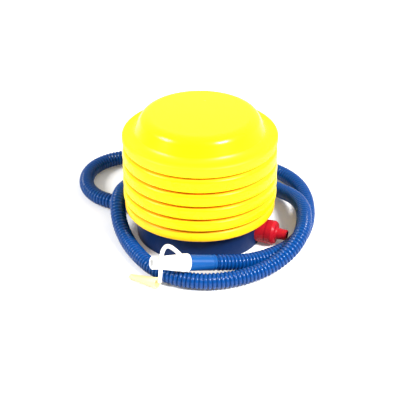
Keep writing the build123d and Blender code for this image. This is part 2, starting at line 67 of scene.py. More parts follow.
# Corners of the hose's centre line from the outlet cuff to the nozzle cuff, in metres.
HOSE_ROUTE = [
    (-0.0578, 0.02335, 0.0076), (-0.0714, 0.02885, 0.0076), (-0.0865, 0.0395, 0.0064),
    (-0.0965, 0.056, 0.0064), (-0.0985, 0.076, 0.0064), (-0.0925, 0.0945, 0.0064),
    (-0.078, 0.108, 0.0064), (-0.056, 0.1145, 0.0064), (-0.032, 0.112, 0.010),
    (-0.011, 0.1045, 0.0186), (0.012, 0.0945, 0.0198), (0.033, 0.082, 0.0135),
    (0.051, 0.066, 0.0075), (0.067, 0.0475, 0.0086), (0.0785, 0.0245, 0.0154),
    (0.0835, 0.0, 0.0196), (0.083, -0.020, 0.020), (0.080, -0.0385, 0.0194),
    (0.072, -0.0545, 0.0146), (0.058, -0.067, 0.0088), (0.0405, -0.078, 0.0064),
    (0.0205, -0.0865, 0.0064), (-0.0005, -0.0885, 0.0064), (-0.0205, -0.0825, 0.0064),
    (-0.0365, -0.069, 0.0064), (-0.0485, -0.0505, 0.0064), (-0.058, -0.030, 0.0064),
    (-0.0652, -0.010, 0.012), (-0.0678, 0.0102, 0.0204), (-0.0633, 0.0314, 0.0208),
    (-0.053, 0.051, 0.014), (-0.039, 0.069, 0.0064), (-0.0205, 0.0855, 0.0064),
    (0.003, 0.0975, 0.0064), (0.0285, 0.1015, 0.0064), (0.052, 0.0965, 0.0064),
    (0.0715, 0.0825, 0.0064), (0.084, 0.0625, 0.0064), (0.089, 0.0395, 0.0064),
    (0.089, 0.016, 0.0064), (0.086, -0.006, 0.0064), (0.0795, -0.0255, 0.0064),
    (0.069, -0.041, 0.0064), (0.0555, -0.0515, 0.0064), (0.0425, -0.0595, 0.0072),
    (0.0303, -0.0668, 0.0097), (0.0111, -0.0742, 0.0144),
]

# Plain ends of the ribbed hose, in metres, and a rib's section as (share of the pitch, share of
# the depth below the crest).
HOSE_END = 0.002
HOSE_END_RIM = 0.0016
HOSE_END_STEP = 0.0006
RIB_SECTION = [
    (0.0, 1.0), (0.11, 0.76), (0.22, 0.34), (0.35, 0.08),
    (0.5, 0.0), (0.65, 0.08), (0.78, 0.34), (0.89, 0.76),
]
# Share of the ribs' blue at the plain ends; the rest is the painted shade of the rib grooves.
HOSE_END_SHADE = 0.3

# Corners of the tether's centre line from the nozzle's collar to the adapter, in metres.
TETHER_ROUTE = [
    (-0.0145, -0.0834, 0.0268), (-0.0195, -0.0828, 0.0326), (-0.025, -0.0845, 0.0366),
    (-0.0282, -0.091, 0.035), (-0.0288, -0.0978, 0.0286), (-0.0294, -0.0982, 0.018),
    (-0.0302, -0.0914, 0.009),
]

ADAPTER_WIDE_END = Vector((-0.0317, -0.0880, 0.0049))
ADAPTER_TIP = Vector((-0.0532, -0.0743, 0.0021))
TETHER_DIAMETER = 0.0032

# Heights in mm of the edges between the pleats, from the lowest pleat's foot to the cap.
PLEAT_LEVELS = [22.6, 32.3, 42.75, 53.95, 65.9, 78.6]
NECK_RADIUS = 50.0
NECK_BORE = 48.7

INLET_AZIMUTH = radians(-22)
INLET_HEIGHT = 0.0102
OUTLET_AZIMUTH = radians(158)
OUTLET_HEIGHT = 0.0076

# Camera and light places, in metres.
CAMERA_PLACE = (0, -0.8660, 0.5265)
CAMERA_AIM = Vector((0, 0, 0.0265))
LIGHT_AIM = Vector((0, 0, 0.06))
KEY_PLACE = (0.80, -0.70, 1.05)
KEY_SIZE = (0.40, 0.36)
FILL_PLACE = (-1.33, -0.43, 1.02)
FILL_SIZE = (0.56, 0.50)
FLOOR_HALF = 6.0
FLOOR_LEVEL = -0.0002


# ---------------------------------------------------------------------------------------------
# Settings
# ---------------------------------------------------------------------------------------------

def colour_property(name, description, default):
    return FloatVectorProperty(
        name=name, description=description, default=default, size=3, min=0, max=1, subtype="COLOR",
    )


class PumpPlasticSettings(bpy.types.PropertyGroup):
    """Colours of the moulded pieces."""

    bellows: colour_property("Bellows", "Yellow of the pleats", (0.92, 0.68, 0.001))
    # The groove colour is painted shade: it deepens the yellow between the pleats, where shade
    # falls.
    painted_groove_shade: colour_property("Grooves", "Deeper yellow between the pleats", (0.84, 0.36, 0.010))
    cap: colour_property("Foot cap", "Yellow of the cap that is pressed", (0.92, 0.76, 0.002))
    base: colour_property("Base", "Navy of the drum under the bellows", (0.003, 0.017, 0.075))
    valve: colour_property("Suction valve", "Red of the suction port", (0.38, 0.007, 0.016))
    nozzle: colour_property("Nozzle", "White of the nozzle and its tether", (0.90, 0.90, 0.89))
    adapter: colour_property("Adapter", "Cream of the small adapter", (0.84, 0.70, 0.33))


class PumpHoseSettings(bpy.types.PropertyGroup):
    """Sizes and colours of the ribbed hose."""

    diameter: FloatProperty(
        name="Diameter", description="Outside diameter over the ribs", default=0.0126,
        min=0.006, max=0.02, unit="LENGTH", subtype="DISTANCE",
    )
    length: FloatProperty(
        name="Length", description="Real length of the ribbed part", default=0.988,
        min=0.3, max=2.0, unit="LENGTH", subtype="DISTANCE",
    )
    rib_pitch: FloatProperty(
        name="Rib pitch", description="Distance from rib to rib", default=0.0031,
        min=0.002, max=0.008, unit="LENGTH", subtype="DISTANCE",
    )
    rib_depth: FloatProperty(
        name="Rib depth", description="Depth of the groove between ribs", default=0.0009,
        min=0.0002, max=0.002, unit="LENGTH", subtype="DISTANCE",
    )
    around: IntProperty(
        name="Sides", description="Faces round the hose", default=28, min=12, max=48,
    )
    crest: colour_property("Ribs", "Blue on top of the ribs", (0.0006, 0.046, 0.205))
    # The rib grooves' blue is painted shade: a darker blue laid between the ribs.
    painted_rib_shade: colour_property("Rib grooves", "Blue between the ribs", (0.0008, 0.026, 0.120))
    cuff: colour_property("Cuffs", "Blue of the smooth ends", (0.003, 0.066, 0.25))


class PumpStudioSettings(bpy.types.PropertyGroup):
    """Light and floor of the studio."""

    floor: colour_property("Floor", "Pale floor", (0.80, 0.80, 0.80))
    floor_glow: FloatProperty(
        name="Floor glow", description="Light of the floor itself, which softens shadows",
        default=0.10, min=0, max=2,
    )
    sky: FloatProperty(
        name="Sky", description="Strength of the even light all round", default=0.52, min=0, max=3,
    )
    key: FloatProperty(
        name="Key light", description="Power of the large light at the right", default=46.0,
        min=0, max=200, unit="POWER",
    )
    fill: FloatProperty(
        name="Fill light", description="Power of the large light at the left", default=36.0,
        min=0, max=200, unit="POWER",
    )


# ---------------------------------------------------------------------------------------------
# Mesh tools
# ---------------------------------------------------------------------------------------------

def add_piece(name, vertices, faces, body, slot, material):
    """Puts a smooth mesh in the scene as a piece that rides on a body."""
    mesh = bpy.data.meshes.new(name)
    mesh.from_pydata([tuple(v) for v in vertices], [], faces)
    mesh.validate()
    mesh.shade_smooth()
    piece = bpy.data.objects.new(name, mesh)
    bpy.context.scene.collection.objects.link(piece)
    mesh.materials.append(material)
    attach(piece, body)
    return piece


def turned_profile(corners, steps=6, hold=0.25):
    """Points of a turning profile in mm. Each corner is (radius, height, rounding).

    A point is added at hold beyond each rounding, so that long flat runs keep their flat shading.
    """
    points = []
    for i, (r, z, rounding) in enumerate(corners):
        here = Vector((r, z))
        if rounding <= 0 or i in (0, len(corners) - 1):
            points.append(here)
            continue
        back = Vector(corners[i - 1][:2]) - here
        ahead = Vector(corners[i + 1][:2]) - here
        half = back.angle(ahead) / 2
        if half > pi / 2 - 0.01:
            points.append(here)
            continue
        reach = min(rounding / tan(half), 0.49 * back.length, 0.49 * ahead.length)
        radius = reach * tan(half)
        middle = here + (back.normalized() + ahead.normalized()).normalized() * (radius / sin(half))
        start = here + back.normalized() * reach
        end = here + ahead.normalized() * reach
        first = start - middle
        sweep = first.angle_signed(end - middle)
        if back.length - 2 * reach > 3 * hold:
            points.append(start + back.normalized() * hold)
        for k in range(steps + 1):
            turn = Matrix.Rotation(-sweep * k / steps, 2)
            points.append(middle + turn @ first)
        if ahead.length - 2 * reach > 3 * hold:
            points.append(end + ahead.normalized() * hold)
    return points


def turned_mesh(profile, place=Matrix.Identity(4), around=144, closed=True):
    """Vertices and faces, in metres, of a profile in mm turned round the Z axis of place."""
    vertices = []
    faces = []
    rings = []
    for r, z in profile:
        if r < 1e-4:
            rings.append([len(vertices)])
            vertices.append(place @ Vector((0, 0, z * MM)))
            continue
        rings.append(list(range(len(vertices), len(vertices) + around)))
        for k in range(around):
            angle = 2 * pi * k / around
            vertices.append(place @ Vector((r * MM * cos(angle), r * MM * sin(angle), z * MM)))
    pairs = list(zip(rings, rings[1:]))
    if closed:
        pairs.append((rings[-1], rings[0]))
    for low, high in pairs:
        if len(low) == 1 and len(high) == 1:
            continue
        for k in range(around):
            n = (k + 1) % around
            if len(low) == 1:
                faces.append((low[0], high[n], high[k]))
            elif len(high) == 1:
                faces.append((low[k], low[n], high[0]))
            else:
                faces.append((low[k], low[n], high[n], high[k]))
    return vertices, faces


def axis_place(origin, direction):
    """Matrix that puts Z along a direction at an origin."""
    turn = Vector(direction).to_track_quat("Z", "Y").to_matrix().to_4x4()
    return Matrix.Translation(origin) @ turn


def port_place(azimuth, height):
    """Matrix whose Z runs outwards along a port from the bellows' axis."""
    return axis_place((0, 0, height), (cos(azimuth), sin(azimuth), 0))


def centre_line(name, route):
    """Points along the smooth line of a route, read from its spline."""
    curve = bpy.data.curves.new(name, "CURVE")
    curve.dimensions = "3D"
    spline = curve.splines.new("NURBS")
    spline.points.add(len(route) - 1)
    for point, corner in zip(spline.points, route):
        point.co = (*corner, 1)
    spline.order_u = 3
    spline.use_endpoint_u = True
    spline.resolution_u = 24
    curve.resolution_u = 24
    holder = bpy.data.objects.new(name, curve)
    line = bpy.data.meshes.new_from_object(holder)
    points = [v.co.copy() for v in line.vertices]
    bpy.data.objects.remove(holder)
    bpy.data.curves.remove(curve)
    bpy.data.meshes.remove(line)
    return points


def line_length(points):
    return sum((b - a).length for a, b in zip(points, points[1:]))


class Walker:
    """Walks along a line of points and gives the place and cross directions at a distance."""

    def __init__(self, points):
        self.points = points
        self.reached = [0.0]
        for a, b in zip(points, points[1:]):
            self.reached.append(self.reached[-1] + (b - a).length)
        self.length = self.reached[-1]
        self.ahead = []
        last = len(points) - 1
        for i in range(len(points)):
            self.ahead.append((points[min(i + 1, last)] - points[max(i - 1, 0)]).normalized())
        side = self.ahead[0].cross(Vector((0, 0, 1))).normalized()
        self.sides = [side]
        for a, b in zip(self.ahead, self.ahead[1:]):
            side = a.rotation_difference(b) @ side
            side = (side - b * side.dot(b)).normalized()
            self.sides.append(side)
        self.at = 0

    def step_to(self, distance):
        """Place, direction and side at a distance that never goes back."""
        while self.at < len(self.reached) - 2 and self.reached[self.at + 1] < distance:
            self.at += 1
        i = self.at
        share = (distance - self.reached[i]) / (self.reached[i + 1] - self.reached[i])
        share = max(0.0, min(1.0, share))
        place = self.points[i].lerp(self.points[i + 1], share)
        ahead = self.ahead[i].lerp(self.ahead[i + 1], share).normalized()
        side = self.sides[i].lerp(self.sides[i + 1], share)
        side = (side - ahead * side.dot(ahead)).normalized()
        return place, ahead, side


def tube_mesh(points, stations, around):
    """Closed tube along a line. Each station is (distance, radius), in metres."""
    walker = Walker(points)
    vertices = []
    faces = []
    for distance, radius in stations:
        place, ahead, side = walker.step_to(distance)
        up = ahead.cross(side)
        for k in range(around):
            angle = 2 * pi * k / around
            vertices.append(place + side * (radius * cos(angle)) + up * (radius * sin(angle)))
    for s in range(len(stations) - 1):
        for k in range(around):
            n = (k + 1) % around
            a = s * around
            b = a + around
            faces.append((a + k, b + k, b + n, a + n))
    last = (len(stations) - 1) * around
    faces.append(tuple(range(around)))
    faces.append(tuple(last + around - 1 - k for k in range(around)))
    return vertices, faces


# ---------------------------------------------------------------------------------------------
# Finishes
# ---------------------------------------------------------------------------------------------

def new_group(name, inputs, outputs):
    """Empty shader node group with named sockets."""
    group = bpy.data.node_groups.new(name, "ShaderNodeTree")
    for label, kind, default in inputs:
        socket = group.interface.new_socket(label, in_out="INPUT", socket_type=kind)
        socket.default_value = default
    for label, kind in outputs:
        group.interface.new_socket(label, in_out="OUTPUT", socket_type=kind)
    entry = group.nodes.new("NodeGroupInput")
    leave = group.nodes.new("NodeGroupOutput")
    entry.location = (-900, 0)
    leave.location = (700, 0)
    return group, entry, leave


def place_node(tree, kind, location, **values):
    node = tree.nodes.new(kind)
    node.location = location
    for key, value in values.items():
        setattr(node, key, value)
    return node


def moulded_skin_group():
    """Colour, roughness and height of moulded plastic: slow blotches, fine grain, light scuffs."""
    if "Moulded skin" in bpy.data.node_groups:
        return bpy.data.node_groups["Moulded skin"]
    group, entry, leave = new_group(
        "Moulded skin",
        [
            ("Colour", "NodeSocketColor", (0.8, 0.8, 0.8, 1)),
            ("Blotch colour", "NodeSocketColor", (0.7, 0.7, 0.7, 1)),
            ("Blotch size", "NodeSocketFloat", 45.0),
            ("Blotch amount", "NodeSocketFloat", 0.35),
            ("Roughness", "NodeSocketFloat", 0.35),
            ("Roughness spread", "NodeSocketFloat", 0.1),
            ("Grain size", "NodeSocketFloat", 1400.0),
            ("Scuffs", "NodeSocketFloat", 0.3),
        ],
        [("Colour", "NodeSocketColor"), ("Roughness", "NodeSocketFloat"),
         ("Height", "NodeSocketFloat")],
    )
    link = group.links.new
    where = place_node(group, "ShaderNodeTexCoord", (-1100, -300))
    blotch = place_node(group, "ShaderNodeTexNoise", (-700, 200))
    blotch.inputs["Detail"].default_value = 3
    grain = place_node(group, "ShaderNodeTexNoise", (-700, -100))
    grain.inputs["Detail"].default_value = 4
    scratch_map = place_node(group, "ShaderNodeMapping", (-900, -450))
    scratch_map.inputs["Scale"].default_value = (1, 1, 6)
    scratch_map.inputs["Rotation"].default_value = (0.4, 0.7, 0.2)
    scratch = place_node(group, "ShaderNodeTexNoise", (-700, -450))
    scratch.inputs["Scale"].default_value = 160
    scratch.inputs["Detail"].default_value = 6
    scratch.inputs["Distortion"].default_value = 0.6
    for node in (blotch, grain):
        link(where.outputs["Object"], node.inputs["Vector"])
    link(where.outputs["Object"], scratch_map.inputs["Vector"])
    link(scratch_map.outputs["Vector"], scratch.inputs["Vector"])
    link(entry.outputs["Blotch size"], blotch.inputs["Scale"])
    link(entry.outputs["Grain size"], grain.inputs["Scale"])
    patch = place_node(group, "ShaderNodeMapRange", (-450, 250))
    patch.inputs["From Min"].default_value = 0.35
    patch.inputs["From Max"].default_value = 0.7
    link(blotch.outputs["Fac"], patch.inputs["Value"])
    amount = place_node(group, "ShaderNodeMath", (-250, 250), operation="MULTIPLY")
    link(patch.outputs["Result"], amount.inputs[0])
    link(entry.outputs["Blotch amount"], amount.inputs[1])
    mix = place_node(group, "ShaderNodeMix", (0, 250), data_type="RGBA")
    link(amount.outputs["Value"], mix.inputs["Factor"])
    link(entry.outputs["Colour"], mix.inputs["A"])
    link(entry.outputs["Blotch colour"], mix.inputs["B"])
    link(mix.outputs["Result"], leave.inputs["Colour"])
    lines = place_node(group, "ShaderNodeMapRange", (-450, -450))
    lines.inputs["From Min"].default_value = 0.60
    lines.inputs["From Max"].default_value = 0.72
    link(scratch.outputs["Fac"], lines.inputs["Value"])
    scuff = place_node(group, "ShaderNodeMath", (-250, -450), operation="MULTIPLY")
    link(lines.outputs["Result"], scuff.inputs[0])
    link(entry.outputs["Scuffs"], scuff.inputs[1])
    centred = place_node(group, "ShaderNodeMath", (-250, -100), operation="SUBTRACT")
    link(blotch.outputs["Fac"], centred.inputs[0])
    centred.inputs[1].default_value = 0.5
    spread = place_node(group, "ShaderNodeMath", (-50, -100), operation="MULTIPLY_ADD")
    link(centred.outputs["Value"], spread.inputs[0])
    link(entry.outputs["Roughness spread"], spread.inputs[1])
    link(entry.outputs["Roughness"], spread.inputs[2])
    rough = place_node(group, "ShaderNodeMath", (200, -150), operation="MULTIPLY_ADD")
    link(scuff.outputs["Value"], rough.inputs[0])
    rough.inputs[1].default_value = 0.35
    link(spread.outputs["Value"], rough.inputs[2])
    rough.use_clamp = True
    link(rough.outputs["Value"], leave.inputs["Roughness"])
    height = place_node(group, "ShaderNodeMath", (200, -400), operation="MULTIPLY_ADD")
    link(scuff.outputs["Value"], height.inputs[0])
    height.inputs[1].default_value = -0.6
    link(grain.outputs["Fac"], height.inputs[2])
    link(height.outputs["Value"], leave.inputs["Height"])
    return group


def groove_shade_group():
    """Painted shade: a colour that deepens towards the roots of grooves, by distance from the
    bellows' axis.
    """
    if "Groove shade" in bpy.data.node_groups:
        return bpy.data.node_groups["Groove shade"]
    group, entry, leave = new_group(
        "Groove shade",
        [
            ("Colour", "NodeSocketColor", (0.8, 0.8, 0.8, 1)),
            ("Groove colour", "NodeSocketColor", (0.4, 0.4, 0.4, 1)),
            ("Root radius", "NodeSocketFloat", 0.0590),
            ("Crest radius", "NodeSocketFloat", 0.0613),
        ],
        [("Colour", "NodeSocketColor")],
    )
    link = group.links.new
    where = place_node(group, "ShaderNodeTexCoord", (-1100, 0))
    flat = place_node(group, "ShaderNodeVectorMath", (-900, 200), operation="MULTIPLY")
    flat.inputs[1].default_value = (1, 1, 0)
    link(where.outputs["Object"], flat.inputs[0])
    reach = place_node(group, "ShaderNodeVectorMath", (-700, 200), operation="LENGTH")
    link(flat.outputs["Vector"], reach.inputs[0])
    mask = place_node(group, "ShaderNodeMapRange", (-450, 200), interpolation_type="SMOOTHSTEP")
    link(reach.outputs["Value"], mask.inputs["Value"])
    link(entry.outputs["Crest radius"], mask.inputs["From Min"])
    link(entry.outputs["Root radius"], mask.inputs["From Max"])
    mix = place_node(group, "ShaderNodeMix", (0, 200), data_type="RGBA")
    link(mask.outputs["Result"], mix.inputs["Factor"])
    link(entry.outputs["Colour"], mix.inputs["A"])
    link(entry.outputs["Groove colour"], mix.inputs["B"])
    link(mix.outputs["Result"], leave.inputs["Colour"])
    return group


def start_material(name):
    """New material with its Principled shader."""
    material = bpy.data.materials.new(name)
    material.use_nodes = True
    tree = material.node_tree
    shader = tree.nodes["Principled BSDF"]
    return material, tree, shader


def set_group(tree, group, location, **values):
    node = place_node(tree, "ShaderNodeGroup", location)
    node.node_tree = group
    for key, value in values.items():
        label = key.replace("_", " ")
        if isinstance(value, tuple):
            value = (*value, 1)
        node.inputs[label].default_value = value
    return node


def deeper(colour, share):
    return tuple(c * share for c in colour)


def moulded_plastic(name, colour, roughness=0.35, spread=0.1, blotch=0.35, blotch_share=0.86,
                    grain=1400.0, bump=0.06, scuffs=0.3, gloss=0.3, painted_groove_shade=None,
                    satin=None, blotch_size=45.0):
    """Moulded plastic. It can have painted shade, a deeper colour, in grooves, and be rougher below
    a level.

    The colour given for the grooves is painted shade at their roots. satin is (height where the
    surface is fully rough, height where it is polished, roughness that is added), in metres.
    """
    if name in bpy.data.materials:
        return bpy.data.materials[name]
    material, tree, shader = start_material(name)
    link = tree.links.new
    skin = set_group(
        tree, moulded_skin_group(), (-600, 0), Colour=tuple(colour),
        Blotch_colour=deeper(colour, blotch_share), Blotch_size=blotch_size, Blotch_amount=blotch,
        Roughness=roughness, Roughness_spread=spread, Grain_size=grain, Scuffs=scuffs,
    )
    if painted_groove_shade is None:
        link(skin.outputs["Colour"], shader.inputs["Base Color"])
    else:
        # Painted shade towards the roots of the grooves.
        shade = set_group(tree, groove_shade_group(), (-350, 200), Groove_colour=tuple(painted_groove_shade))
        link(skin.outputs["Colour"], shade.inputs["Colour"])
        link(shade.outputs["Colour"], shader.inputs["Base Color"])
    if satin is None:
        link(skin.outputs["Roughness"], shader.inputs["Roughness"])
    else:
        low, high, more = satin
        where = place_node(tree, "ShaderNodeTexCoord", (-1000, -500))
        apart = place_node(tree, "ShaderNodeSeparateXYZ", (-800, -500))
        level = place_node(tree, "ShaderNodeMapRange", (-600, -500))
        level.inputs["From Min"].default_value = low
        level.inputs["From Max"].default_value = high
        level.inputs["To Min"].default_value = more
        level.inputs["To Max"].default_value = 0.0
        total = place_node(tree, "ShaderNodeMath", (-300, -500), operation="ADD", use_clamp=True)
        link(where.outputs["Object"], apart.inputs["Vector"])
        link(apart.outputs["Z"], level.inputs["Value"])
        link(level.outputs["Result"], total.inputs[0])
        link(skin.outputs["Roughness"], total.inputs[1])
        link(total.outputs["Value"], shader.inputs["Roughness"])
    dents = place_node(tree, "ShaderNodeBump", (-300, -250))
    dents.inputs["Strength"].default_value = bump
    dents.inputs["Distance"].default_value = 0.0002
    link(skin.outputs["Height"], dents.inputs["Height"])
    link(dents.outputs["Normal"], shader.inputs["Normal"])
    shader.inputs["Specular IOR Level"].default_value = gloss
    return material


def ribbed_blue(settings):
    """Blue of the hose, darker between the ribs with painted shade, and glossier on their crests.
    """
    if "Ribbed blue" in bpy.data.materials:
        return bpy.data.materials["Ribbed blue"]
    material, tree, shader = start_material("Ribbed blue")
    link = tree.links.new
    skin = set_group(
        tree, moulded_skin_group(), (-600, 0), Colour=tuple(settings.crest),
        Blotch_colour=deeper(settings.crest, 0.8), Blotch_size=60.0, Blotch_amount=0.4,
        Roughness=0.17, Roughness_spread=0.08, Grain_size=1200.0, Scuffs=0.3,
    )
    # The rib attribute mixes in the painted shade between the ribs and raises the gloss on their
    # crests.
    rib = place_node(tree, "ShaderNodeAttribute", (-600, 300), attribute_name="rib")
    mix = place_node(tree, "ShaderNodeMix", (-300, 200), data_type="RGBA")
    link(rib.outputs["Fac"], mix.inputs["Factor"])
    mix.inputs["A"].default_value = (*settings.painted_rib_shade, 1)
    link(skin.outputs["Colour"], mix.inputs["B"])
    link(mix.outputs["Result"], shader.inputs["Base Color"])
    link(skin.outputs["Roughness"], shader.inputs["Roughness"])
    dents = place_node(tree, "ShaderNodeBump", (-300, -250))
    dents.inputs["Strength"].default_value = 0.06
    dents.inputs["Distance"].default_value = 0.0002
    link(skin.outputs["Height"], dents.inputs["Height"])
    link(dents.outputs["Normal"], shader.inputs["Normal"])
    shine = place_node(tree, "ShaderNodeMapRange", (-300, 450))
    shine.inputs["To Max"].default_value = 0.30
    link(rib.outputs["Fac"], shine.inputs["Value"])
    link(shine.outputs["Result"], shader.inputs["Specular IOR Level"])
    return material


def brushed_metal(name, colour, roughness, along):
    """Drawn or plated steel with fine lines along one direction."""
    if name in bpy.data.materials:
        return bpy.data.materials[name]
    material, tree, shader = start_material(name)
    link = tree.links.new
    where = place_node(tree, "ShaderNodeTexCoord", (-1100, 0))
    stretch = place_node(tree, "ShaderNodeMapping", (-900, 0))
    stretch.inputs["Scale"].default_value = along
    lines = place_node(tree, "ShaderNodeTexNoise", (-700, 0))
    lines.inputs["Scale"].default_value = 900
    lines.inputs["Detail"].default_value = 5
    link(where.outputs["Object"], stretch.inputs["Vector"])
    link(stretch.outputs["Vector"], lines.inputs["Vector"])
    rough = place_node(tree, "ShaderNodeMapRange", (-450, -100))
    rough.inputs["To Min"].default_value = roughness - 0.08
    rough.inputs["To Max"].default_value = roughness + 0.12
    link(lines.outputs["Fac"], rough.inputs["Value"])
    link(rough.outputs["Result"], shader.inputs["Roughness"])
    tint = place_node(tree, "ShaderNodeMix", (-450, 200), data_type="RGBA")
    link(lines.outputs["Fac"], tint.inputs["Factor"])
    tint.inputs["A"].default_value = (*deeper(colour, 0.85), 1)
    tint.inputs["B"].default_value = (*colour, 1)
    link(tint.outputs["Result"], shader.inputs["Base Color"])
    shader.inputs["Metallic"].default_value = 1.0
    return material


def plastics():
    return bpy.context.scene.pump_plastic


def bellows_yellow():
    s = plastics()
    # The bellows get painted shade between their pleats.
    return moulded_plastic(
        "Bellows yellow", s.bellows, roughness=0.28, spread=0.06, blotch=0.25, blotch_share=0.93,
        bump=0.03, scuffs=0.2, gloss=0.14, painted_groove_shade=s.painted_groove_shade,
    )


def cap_yellow():
    s = plastics()
    return moulded_plastic(
        "Cap yellow", s.cap, roughness=0.20, spread=0.05, blotch=0.2, blotch_share=0.94,
        bump=0.02, scuffs=0.2, gloss=0.22, satin=(0.0890, 0.0925, 0.30),
    )


def base_navy():
    return moulded_plastic("Base navy", plastics().base, roughness=0.36, blotch=0.4,
                           blotch_share=0.75, bump=0.08, scuffs=0.4, gloss=0.12)


def valve_red():
    return moulded_plastic("Valve red", plastics().valve, roughness=0.25, blotch=0.3,
                           blotch_share=0.8, bump=0.06, gloss=0.15)


def nozzle_white():
    return moulded_plastic("Nozzle white", plastics().nozzle, roughness=0.3, blotch=0.3,
                           blotch_share=0.96, bump=0.03)


def adapter_cream():
    return moulded_plastic("Adapter cream", plastics().adapter, roughness=0.3, blotch=0.5,
                           blotch_share=0.85, bump=0.04, blotch_size=90.0)


def cuff_blue():
    return moulded_plastic("Cuff blue", bpy.context.scene.pump_hose.cuff, roughness=0.33,
                           blotch=0.4, blotch_share=0.82, bump=0.05, gloss=0.15)


def seal_black():
    return moulded_plastic("Seal rubber", (0.02, 0.02, 0.021), roughness=0.7, blotch=0.4,
                           blotch_share=0.6, bump=0.15)


def screw_zinc():
    return brushed_metal("Screw zinc", (0.62, 0.63, 0.65), 0.35, (1, 1, 5))


def spring_wire():
    return brushed_metal("Spring wire", (0.45, 0.46, 0.48), 0.30, (1, 1, 0.4))


# ---------------------------------------------------------------------------------------------
# Operators
# ---------------------------------------------------------------------------------------------

class PUMP_OT_stage(bpy.types.Operator):
    """Floor, lights and camera of the studio"""

    bl_idname = "pump.stage"
    bl_label = "Studio"

    def execute(self, context):
        scene = context.scene
        studio = scene.pump_studio
        mesh = bpy.data.meshes.new("studio_floor")
        half = FLOOR_HALF
        mesh.from_pydata(
            [(-half, -half, 0), (half, -half, 0), (half, half, 0), (-half, half, 0)],
            [], [(0, 1, 2, 3)],
        )
        floor = bpy.data.objects.new("studio_floor", mesh)
        scene.collection.objects.link(floor)
        floor.location = (0, 0, FLOOR_LEVEL)
        material, tree, shader = start_material("Studio floor")
        shader.inputs["Base Color"].default_value = (*studio.floor, 1)
        shader.inputs["Roughness"].default_value = 0.9
        shader.inputs["Specular IOR Level"].default_value = 0.1
        shader.inputs["Emission Color"].default_value = (1, 1, 1, 1)
        shader.inputs["Emission Strength"].default_value = studio.floor_glow
        mesh.materials.append(material)

        world = bpy.data.worlds.new("Studio sky")
        scene.world = world
        world.use_nodes = True
        # The sky is brighter behind and above the pump than in front of it.
        tree = world.node_tree
        background = tree.nodes["Background"]
        background.inputs["Color"].default_value = (1.0, 1.0, 1.0, 1)
        where = place_node(tree, "ShaderNodeTexCoord", (-900, 0))
        lean = place_node(tree, "ShaderNodeVectorMath", (-700, 0), operation="DOT_PRODUCT")
        lean.inputs[1].default_value = (0.30, 0.85, 0.40)
        bright = place_node(tree, "ShaderNodeMapRange", (-450, 0))
        bright.inputs["From Min"].default_value = -0.4
        bright.inputs["From Max"].default_value = 0.9
        bright.inputs["To Min"].default_value = studio.sky * 0.35
        bright.inputs["To Max"].default_value = studio.sky * 1.6
        tree.links.new(where.outputs["Generated"], lean.inputs[0])
        tree.links.new(lean.outputs["Value"], bright.inputs["Value"])
        tree.links.new(bright.outputs["Result"], background.inputs["Strength"])

        self.softbox("key_softbox", KEY_PLACE, KEY_SIZE, studio.key)
        self.softbox("fill_softbox", FILL_PLACE, FILL_SIZE, studio.fill)

        lens = bpy.data.cameras.new("camera")
        lens.lens = 111.6
        lens.sensor_width = 36
        camera = bpy.data.objects.new("camera", lens)
        scene.collection.objects.link(camera)
        camera.location = CAMERA_PLACE
        aim = CAMERA_AIM - camera.location
        camera.rotation_euler = aim.to_track_quat("-Z", "Y").to_euler()
        scene.camera = camera
        scene.view_settings.view_transform = "Standard"
        scene.view_settings.look = "None"
        return {"FINISHED"}

    @staticmethod
    def softbox(name, place, size, power):
        lamp = bpy.data.lights.new(name, "AREA")
        lamp.shape = "RECTANGLE"
        lamp.size = size[0]
        lamp.size_y = size[1]
        lamp.energy = power
        box = bpy.data.objects.new(name, lamp)
        bpy.context.scene.collection.objects.link(box)
        box.location = place
        aim = LIGHT_AIM - box.location
        box.rotation_euler = aim.to_track_quat("-Z", "Y").to_euler()


